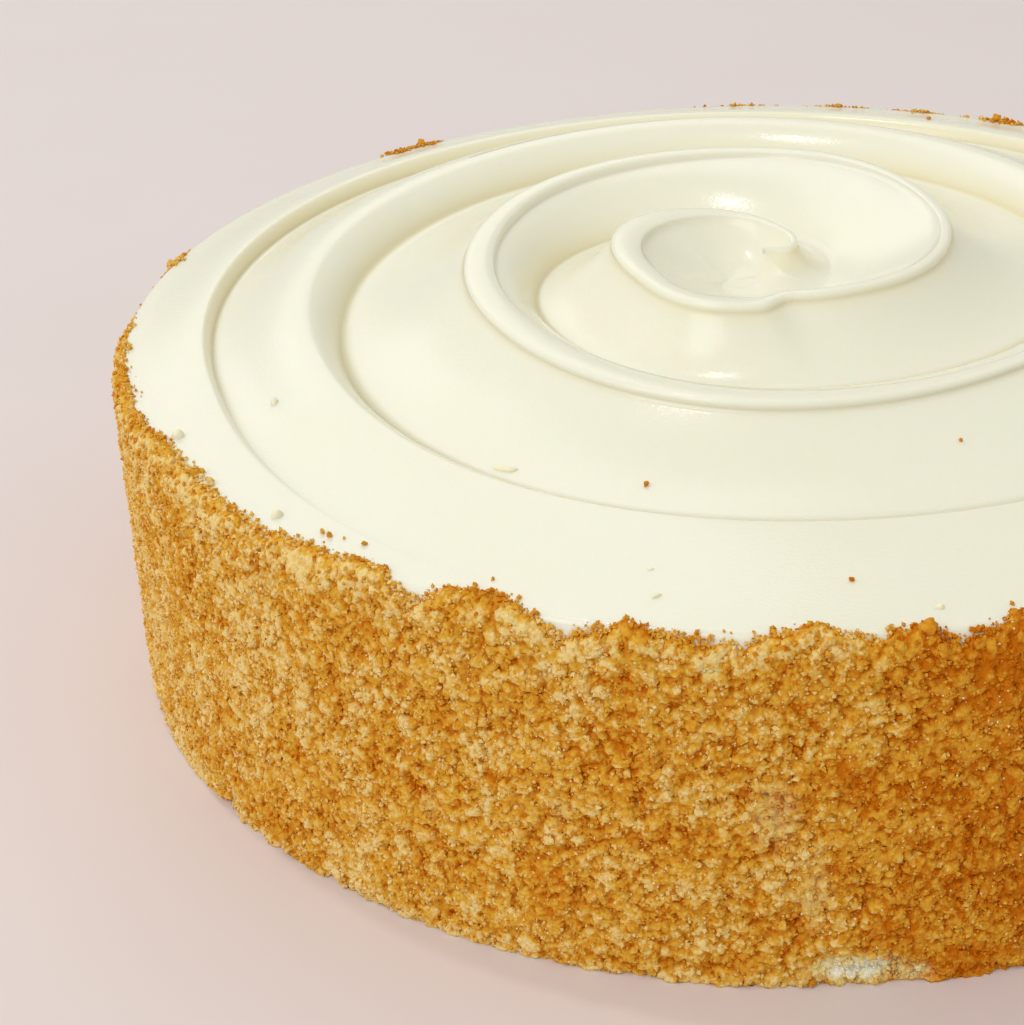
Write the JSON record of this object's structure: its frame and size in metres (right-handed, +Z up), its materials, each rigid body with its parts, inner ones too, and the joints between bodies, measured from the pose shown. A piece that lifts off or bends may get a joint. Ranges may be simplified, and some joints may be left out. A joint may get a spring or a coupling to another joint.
{
  "type": "baked cheesecake",
  "caption": "Whole round baked cheesecake, its cream top spread in one spiral and its side coated in toasted crumbs.",
  "frame": {"origin": "centre of the cake's flat base, at the height it stands on", "axes": "+Z up through the middle of the cake; the spiral's outer end starts between -Y and -X, on the side seen best"},
  "size_m": [0.1992, 0.1989, 0.0621],
  "materials": {
    "cream": "smooth ivory cream with a soft gloss",
    "crumb": "dry golden-brown toasted crumbs"
  },
  "bodies": {
    "root": {"cream_cake": "cream", "crumb_coat": "crumb"}
  },
  "joints": []
}
